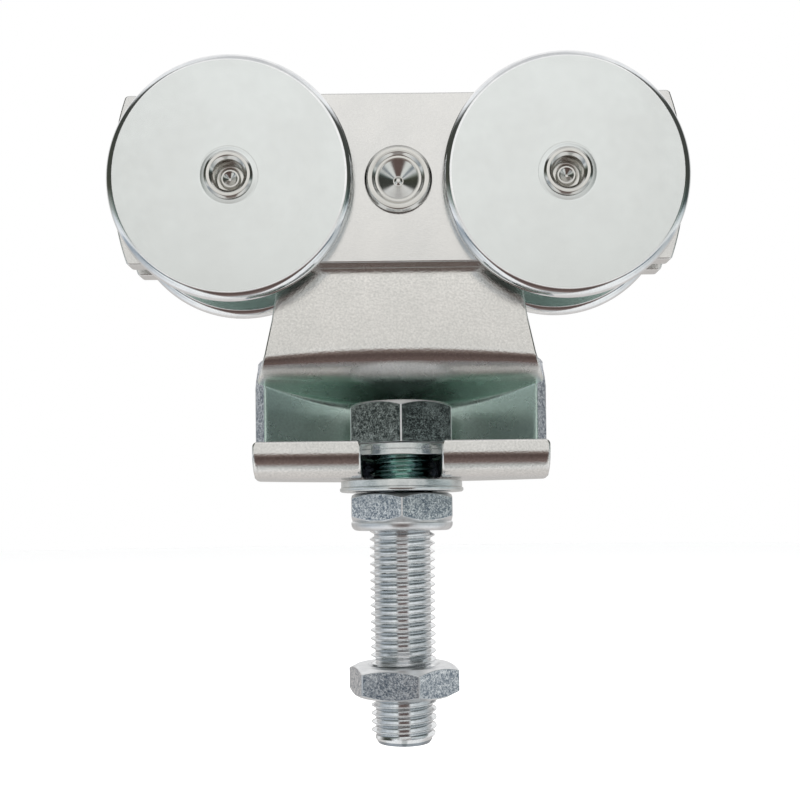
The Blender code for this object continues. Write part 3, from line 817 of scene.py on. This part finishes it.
def column_places(inside, outside):
    """Places across one half of the sheet, close together at both edges."""
    near = [0.0, 0.03 * MM, 0.10 * MM, 0.22 * MM, 0.45 * MM]
    middle = 44
    places = [inside + d for d in near]
    start = inside + near[-1]
    end = outside - near[-1]
    places += [start + (end - start) * (i + 1) / (middle + 1) for i in range(middle)]
    return places + [outside - d for d in reversed(near)]


def half_thickness(edge):
    """Half the sheet's thickness at a distance from a cut edge, with the edge's rounding."""
    if edge >= EDGE_ROUND:
        return SHEET / 2
    inset = EDGE_ROUND - max(edge, 0.0)
    return SHEET / 2 - EDGE_ROUND + sqrt(max(EDGE_ROUND**2 - inset**2, 0.0))


def sheet_rows_cached(x):
    key = round(abs(x), 8)
    if key not in row_cache:
        row_cache[key] = sheet_rows(abs(x))
    return row_cache[key]


def sheet_point(x, row):
    y, z = sheet_rows_cached(x)[row]
    return Vector((x, y, z))


def sheet_normal(x, row, count):
    """The sheet's normal, pointing to the front on the web."""
    before = sheet_point(x, max(row - 1, 0))
    after = sheet_point(x, min(row + 1, count - 1))
    here = sheet_rows_cached(x)[row]
    along = Vector((0.0, after.y - before.y, after.z - before.z)).normalized()
    step = 0.2 * MM
    reach = max(abs(x) - step, 0.0)
    inner = sheet_rows_cached(reach)[row]
    run = abs(x) - reach
    slope = ((here[0] - inner[0]) / run, (here[1] - inner[1]) / run) if run > 0 else (0.0, 0.0)
    across = Vector((1.0, slope[0], slope[1]))
    return across.cross(along).normalized()


def make_hanger():
    """The pressed hanger: one sheet bent into web, roof, rear wall, floor and slotted lip."""
    base = sheet_rows_cached(0.0)
    count = len(base)
    behind, ahead = slot_rows()
    slot_start = count - ROWS_ABOVE_LIP_BEND - (BEND_STEPS + 1) - len(ahead)
    shape = bmesh.new()
    grids = []
    for mirror in (1, -1):
        front = []
        back = []
        for row in range(count):
            y, z = base[row]
            inside = slot_edge(y, z) if row >= slot_start else 0.0
            outside = outer_half_width(row, base)
            top_edge = LIP_TOP - z if row >= count - LIP_CORNER_ROWS - 1 else 1.0
            line_front = []
            line_back = []
            for x in column_places(inside, outside):
                edge = min(outside - x, top_edge)
                if row >= slot_start:
                    away = sqrt(x * x + y * y) - SLOT_HALF_WIDTH if y > 0 else x - inside
                    edge = min(edge, away)
                elif abs(z - FLOOR_Z) < 1e-6 and y > SLOT_HALF_WIDTH:
                    edge = min(edge, sqrt(x * x + y * y) - SLOT_HALF_WIDTH)
                point = sheet_point(x, row)
                offset = sheet_normal(x, row, count) * half_thickness(edge)
                for line, place in ((line_front, point - offset), (line_back, point + offset)):
                    line.append(shape.verts.new((place.x * mirror, place.y, place.z)))
            front.append(line_front)
            back.append(line_back)
        grids.append((front, back))
    last = len(grids[0][0][0]) - 1
    cut_faces = []
    for front, back in grids:
        for row in range(count - 1):
            for k in range(last):
                for grid in (front, back):
                    corners = (grid[row][k], grid[row][k + 1], grid[row + 1][k + 1], grid[row + 1][k])
                    face = shape.faces.new(corners)
                    # Faces inside the pocket get the pocket zinc with its painted shade.
                    if grid is front and base[row][0] > 0.5 * MM:
                        face.material_index = 2
            cut_faces.append(shape.faces.new((front[row][last], back[row][last], back[row + 1][last],
                                              front[row + 1][last])))
            if row >= slot_start:
                cut_faces.append(shape.faces.new((front[row][0], back[row][0], back[row + 1][0],
                                                  front[row + 1][0])))
        for row in (0, count - 1):
            for k in range(last):
                cut_faces.append(shape.faces.new((front[row][k], front[row][k + 1], back[row][k + 1],
                                                  back[row][k])))
    for face in cut_faces:
        face.material_index = 1
    bmesh.ops.remove_doubles(shape, verts=shape.verts, dist=0.0000005)
    hanger = new_piece("hanger_pressing", shape, ["pressed", "cut_edge", "pocket"])
    for x in (-AXLE_SPACING / 2, AXLE_SPACING / 2):
        cut_turned(hanger, x, through_hole(BEARING_OUTER_RADIUS + GAP))
    cut_turned(hanger, 0.0, through_hole(RIVET_RADIUS + GAP))
    hanger.data.set_sharp_from_angle(angle=radians(30.0))
    settle(hanger, "carrier", "pressed_sheet", "hanger_body")


# ---- bolt, washers and nuts


def hex_radius(a):
    """The hexagon's radius at an angle, with its corners just rounded. A corner is at -Y."""
    sixth = pi / 3
    off = (a + pi / 2) % sixth - sixth / 2
    flat = HEX_ACROSS_FLATS / 2 / cos(off)
    corner = HEX_ACROSS_FLATS / 2 / cos(sixth / 2)
    return min(flat, corner - HEX_CORNER_ROUND)


def round_ring(radius, z):
    """A ring of points that has the same radius all round."""
    return lambda a: (radius, z)


def hex_rings(low, high, chamfer_low, chamfer_high, bore, bore_chamfer):
    """Functions of the angle for each ring of points, from the bore's top round the outside to its bottom."""
    apothem = HEX_ACROSS_FLATS / 2

    def drop(a, chamfer):
        return chamfer[1] + (hex_radius(a) - apothem) * chamfer[2]

    inner = bore + bore_chamfer
    rings = [
        lambda a: (inner, high),
        lambda a: (chamfer_high[0] - 0.25 * MM, high),
        lambda a: (chamfer_high[0], high - 0.04 * MM),
        lambda a: (apothem - 0.06 * MM, high - chamfer_high[1] + 0.03 * MM),
        lambda a: (hex_radius(a) - 0.04 * MM, high - drop(a, chamfer_high) + 0.02 * MM),
        lambda a: (hex_radius(a), high - drop(a, chamfer_high) - 0.10 * MM),
        lambda a: (hex_radius(a), low + drop(a, chamfer_low) + 0.10 * MM),
        lambda a: (hex_radius(a) - 0.04 * MM, low + drop(a, chamfer_low) - 0.02 * MM),
    ]
    if chamfer_low is FORGED_CHAMFER:
        end = filleted(ROLLED_END)
    else:
        end = [(apothem - 0.06 * MM, chamfer_low[1] - 0.03 * MM), (chamfer_low[0], 0.04 * MM)]
        end.append((chamfer_low[0] - 0.25 * MM, 0.0))
    rings += [round_ring(radius, low + height) for radius, height in end + [(inner, 0.0)]]
    if bore > 0:
        rings.append(lambda a: (bore, low + bore_chamfer))
        rings.append(lambda a: (bore, high - bore_chamfer))
    return rings


def make_hex(name, low, high, turn, flats, chamfer_low, chamfer_high, bore=0.0, bore_chamfer=0.0):
    """A hexagon with chamfered ends. Its flats are the second surface."""
    around = 6 * HEX_STEPS
    last_above_flats = 5
    rings = hex_rings(low, high, chamfer_low, chamfer_high, bore, bore_chamfer)
    shape = bmesh.new()
    grid = []
    for ring in rings:
        line = []
        for i in range(around):
            a = 2 * pi * (i + 0.5) / around
            radius, z = ring(a)
            line.append(shape.verts.new((radius * cos(a), radius * sin(a), z)))
        grid.append(line)
    pairs = list(zip(range(len(grid)), range(1, len(grid))))
    if bore > 0:
        pairs.append((len(grid) - 1, 0))
    for first, second in pairs:
        for i in range(around):
            j = (i + 1) % around
            face = shape.faces.new((grid[first][i], grid[first][j], grid[second][j], grid[second][i]))
            on_corner = (i + 1) % HEX_STEPS == HEX_STEPS // 2
            face.material_index = 1 if first == last_above_flats and not on_corner else 0
    if bore == 0:
        shape.faces.new(grid[0])
        shape.faces.new(grid[-1])
    piece = new_piece(name, shape, ["hex_face", flats], 20.0)
    piece.rotation_euler.z = turn
    bpy.context.view_layer.update()
    return piece


def make_thread(high, low):
    """The shank's helical thread, clamped between its ends and run out over the end chamfer."""
    per_turn = len(THREAD_FORM)
    turns = int((high - low) / THREAD_PITCH) + 3
    shape = bmesh.new()
    columns = []
    for i in range(THREAD_AROUND + 1):
        a = 2 * pi * i / THREAD_AROUND
        line = []
        for m in range(turns * per_turn):
            share, depth = THREAD_FORM[m % per_turn]
            z = low - 2 * THREAD_PITCH + (m // per_turn + share + i / THREAD_AROUND) * THREAD_PITCH
            held = min(max(z, low), high)
            radius = THREAD_RADIUS - THREAD_DEPTH * (depth if z < high else 1.0)
            end_radius = THREAD_RADIUS - BOLT_END_CHAMFER + (held - low) * 0.62
            line.append((min(radius, end_radius), held, a))
        columns.append(line)
    grid = []
    for line in columns[:-1]:
        grid.append([shape.verts.new((r * cos(a), r * sin(a), z)) for r, z, a in line])
    rows = len(grid[0])
    for i in range(THREAD_AROUND):
        wraps = i == THREAD_AROUND - 1
        nearby = grid[0] if wraps else grid[i + 1]
        shift = per_turn if wraps else 0
        for m in range(rows - 1 - shift):
            corners = [grid[i][m], grid[i][m + 1], nearby[m + 1 + shift], nearby[m + shift]]
            shape.faces.new(corners)
    bmesh.ops.remove_doubles(shape, verts=shape.verts, dist=0.000002)
    loose = [e for e in shape.edges if not e.link_faces]
    bmesh.ops.delete(shape, geom=loose, context="EDGES")
    rim = [e for e in shape.edges if e.is_boundary]
    bmesh.ops.holes_fill(shape, edges=rim, sides=0)
    return new_piece("bolt_thread", shape, "thread", 50.0)


def make_washer(name, top, stepped):
    """A punched washer. The stepped one has a slightly wider, rounded lower half."""
    bore = THREAD_RADIUS + 2 * GAP
    low = top - WASHER_THICKNESS
    small = 0.18 * MM
    step = 0.3 * MM if stepped else 0.12 * MM
    middle = top - WASHER_THICKNESS * (0.6 if stepped else 0.5)
    corners = [
        (bore, top, small),
        (WASHER_RADIUS - step, top, small),
        (WASHER_RADIUS - step, middle + 0.1 * MM, 0.05 * MM),
        (WASHER_RADIUS - step - 0.08 * MM, middle, 0.05 * MM),
        (WASHER_RADIUS, middle - 0.15 * MM, 0.1 * MM),
        (WASHER_RADIUS, low, 0.55 * MM if stepped else small),
        (bore, low, small),
    ]
    return lathe(name, filleted(corners, True, 5), "washer", True, sharp=40.0)


def make_fixings():
    floor_top = FLOOR_Z + SHEET / 2
    head_washer_top = floor_top + GAP + WASHER_THICKNESS
    settle(make_washer("pocket_washer", head_washer_top, False), "bolt", "washer_steel", "head_washer")
    under_head = head_washer_top + GAP
    head_top = under_head + HEAD_HEIGHT
    head = make_hex("bolt_head", under_head, head_top, 0.0, "head_flat_painted_shade", NO_CHAMFER, HEAD_CHAMFER)
    settle(head, "bolt", "bolt_steel", "hanger_bolt")
    thread = make_thread(under_head, BOLT_END_Z)
    settle(thread, "bolt", "bolt_steel", "hanger_bolt")
    clamp_top = FLOOR_Z - SHEET / 2 - GAP
    settle(make_washer("stepped_washer", clamp_top, True), "clamp_washer", "washer_steel", "clamp_washer")
    nut_top = clamp_top - WASHER_THICKNESS - GAP
    bore = THREAD_RADIUS + 0.06 * MM
    nut_low = nut_top - CLAMP_NUT_HEIGHT
    upper = make_hex("upper_hex_nut", nut_low, nut_top, 0.0, "nut_flat", FORGED_CHAMFER, NUT_CHAMFER, bore,
                     0.8 * MM)
    settle(upper, "clamp_nut", "nut_steel", "clamp_nut")
    lower_low = LOWER_NUT_TOP - LOWER_NUT_HEIGHT
    lower = make_hex("lower_hex_nut", lower_low, LOWER_NUT_TOP, LOWER_NUT_TURN, "nut_flat", NUT_CHAMFER,
                     NUT_CHAMFER, bore, 0.8 * MM)
    settle(lower, "lower_nut", "nut_steel", "lower_nut")


# ---- surroundings


def make_floor():
    """A plain pale floor just below the bolt's end."""
    mesh = bpy.data.meshes.new("floor")
    shape = bmesh.new()
    bmesh.ops.create_circle(shape, cap_ends=True, segments=96, radius=FLOOR_RADIUS)
    shape.to_mesh(mesh)
    shape.free()
    floor = bpy.data.objects.new("floor", mesh)
    bpy.context.scene.collection.objects.link(floor)
    floor.location.z = BOLT_END_Z - FLOOR_DROP
    paint = bpy.data.materials.new("floor_paint")
    paint.use_nodes = True
    shader = paint.node_tree.nodes["Principled BSDF"]
    shader.inputs["Base Color"].default_value = (0.93, 0.93, 0.93, 1.0)
    shader.inputs["Roughness"].default_value = 0.9
    shader.inputs["Emission Color"].default_value = (1.0, 1.0, 1.0, 1.0)
    shader.inputs["Emission Strength"].default_value = 0.36
    mesh.materials.append(paint)
    floor.visible_glossy = False


# What reflections see in each direction, as (degrees above the horizon, colour)
FRONT_SKY = [
    (-90.0, (0.50, 0.51, 0.51)),
    (-68.0, (0.53, 0.55, 0.55)),
    (-50.0, (0.20, 0.15, 0.14)),
    (-20.0, (0.085, 0.060, 0.055)),
    (-7.0, (0.22, 0.17, 0.155)),
    (0.0, (0.86, 0.87, 0.86)),
    (6.0, (0.80, 0.80, 0.79)),
    (9.0, (0.66, 0.66, 0.64)),
    (12.0, (0.80, 0.79, 0.77)),
    (15.0, (0.97, 0.965, 0.95)),
    (21.0, (1.0, 1.0, 0.99)),
    (32.0, (1.0, 1.0, 0.99)),
    (45.0, (0.62, 0.63, 0.64)),
    (90.0, (0.62, 0.62, 0.63)),
]
FLANK_SKY = [
    (-90.0, (0.80, 0.80, 0.80)),
    (-50.0, (0.95, 0.96, 0.96)),
    (-18.0, (0.90, 0.95, 0.96)),
    (-13.0, (0.14, 0.18, 0.22)),
    (-8.0, (0.16, 0.20, 0.24)),
    (-4.0, (0.74, 0.76, 0.76)),
    (4.6, (0.70, 0.72, 0.72)),
    (7.0, (0.20, 0.27, 0.25)),
    (16.0, (0.05, 0.055, 0.045)),
    (42.0, (0.06, 0.065, 0.06)),
    (49.0, (0.88, 0.90, 0.90)),
    (90.0, (0.70, 0.70, 0.71)),
]
WING_LEFT_SKY = [
    (-90.0, (0.80, 0.80, 0.80)),
    (-45.0, (0.90, 0.92, 0.94)),
    (-14.0, (0.34, 0.39, 0.44)),
    (-9.5, (0.40, 0.46, 0.52)),
    (-6.5, (0.88, 0.91, 0.95)),
    (-4.0, (0.84, 0.87, 0.90)),
    (1.0, (0.64, 0.69, 0.73)),
    (5.0, (0.36, 0.40, 0.38)),
    (14.0, (0.06, 0.065, 0.05)),
    (44.0, (0.05, 0.055, 0.05)),
    (53.0, (0.92, 0.94, 0.96)),
    (90.0, (0.70, 0.70, 0.71)),
]
WING_RIGHT_SKY = [
    (-90.0, (0.80, 0.80, 0.80)),
    (-45.0, (0.90, 0.92, 0.93)),
    (-14.0, (0.46, 0.50, 0.52)),
    (-9.5, (0.50, 0.54, 0.57)),
    (-6.5, (0.84, 0.87, 0.87)),
    (-4.0, (0.76, 0.80, 0.80)),
    (1.0, (0.50, 0.57, 0.59)),
    (5.0, (0.06, 0.085, 0.08)),
    (14.0, (0.05, 0.055, 0.05)),
    (44.0, (0.06, 0.065, 0.06)),
    (53.0, (0.92, 0.94, 0.96)),
    (90.0, (0.70, 0.70, 0.71)),
]
BACK_SKY = [
    (-90.0, (0.76, 0.75, 0.74)),
    (-20.0, (0.62, 0.60, 0.59)),
    (0.0, (0.54, 0.53, 0.52)),
    (12.0, (0.90, 0.90, 0.90)),
    (90.0, (0.95, 0.95, 0.95)),
]


def elevation_ramp(graph, height, stops):
    """Stops of (degrees above the horizon, colour) turned into a ramp over the whole sky."""
    placed = [((degree + 90.0) / 180.0, colour) for degree, colour in stops]
    return graph.ramp(height, placed)


def make_world():
    """White to the camera. Reflections see a bright front, dark sides and a dark band low in front."""
    world = bpy.data.worlds.new("studio")
    bpy.context.scene.world = world
    world.use_nodes = True
    graph = Graph(world.node_tree)
    background = world.node_tree.nodes["Background"]
    direction = graph.node("ShaderNodeTexCoord").outputs["Generated"]
    parts = graph.node("ShaderNodeSeparateXYZ")
    graph.link(direction, parts.inputs[0])
    x, y, z = parts.outputs
    height = graph.math("ADD", graph.math("DIVIDE", graph.math("ARCSINE", z), pi), 0.5)
    side = graph.math("ARCTAN2", x, graph.math("MULTIPLY", y, -1.0))
    turn = graph.math("ABSOLUTE", side)
    front = elevation_ramp(graph, height, FRONT_SKY)
    flank = elevation_ramp(graph, height, FLANK_SKY)
    left_wing = elevation_ramp(graph, height, WING_LEFT_SKY)
    right_wing = elevation_ramp(graph, height, WING_RIGHT_SKY)
    wing = graph.mix(graph.span(side, radians(-20.0), radians(20.0)), left_wing, right_wing)
    back = elevation_ramp(graph, height, BACK_SKY)
    sky = graph.mix(graph.span(turn, radians(21.0), radians(30.0), smooth=True), front, flank)
    sky = graph.mix(graph.span(turn, radians(40.0), radians(54.0), smooth=True), sky, wing)
    sky = graph.mix(graph.span(turn, radians(95.0), radians(130.0), smooth=True), sky, back)
    seen = graph.node("ShaderNodeLightPath").outputs["Is Camera Ray"]
    graph.link(graph.mix(seen, sky, (1.0, 1.0, 1.0)), background.inputs["Color"])
    background.inputs["Strength"].default_value = 1.0


def make_light(name, place, target, size, power):
    data = bpy.data.lights.new(name, "AREA")
    data.shape = "DISK"
    data.size = size
    data.energy = power
    light = bpy.data.objects.new(name, data)
    bpy.context.scene.collection.objects.link(light)
    light.location = place
    light.rotation_euler = (Vector(target) - Vector(place)).to_track_quat("-Z", "Y").to_euler()
    light.visible_glossy = False


def make_camera():
    """The photographed view: from in front, about level with the pocket's floor."""
    data = bpy.data.cameras.new("camera")
    data.lens = 46.39
    data.sensor_width = 36.0
    data.shift_y = 0.13
    data.clip_start = 0.01
    camera = bpy.data.objects.new("camera", data)
    bpy.context.scene.collection.objects.link(camera)
    place = Matrix.Translation((-0.10 * MM, -250.67 * MM, -80.59 * MM))
    yaw = Matrix.Rotation(radians(0.08), 4, "Z")
    tilt = Matrix.Rotation(radians(90.0 + 0.89), 4, "X")
    roll = Matrix.Rotation(radians(-0.63), 4, "Z")
    camera.matrix_world = place @ yaw @ tilt @ roll
    bpy.context.scene.camera = camera


# ---- building it all


def build():
    make_camera()
    make_world()
    make_floor()
    make_light("overhead", (0.0, -0.15, 0.7), (0.0, 0.0, -0.05), 0.6, 6.0)
    make_hanger()
    make_plate("front_side_plate", -1)
    make_plate("rear_side_plate", 1)
    make_rivet()
    for side, sign in (("left", -1), ("right", 1)):
        x = sign * AXLE_SPACING / 2
        make_axle(side, x)
        for place, way in (("front", 1), ("rear", -1)):
            make_wheel(side, place, way, x)
            make_spacer(side, place, way, x)
        make_bearing(side, x)
    make_fixings()
    bpy.context.scene.view_settings.view_transform = "Standard"


build()
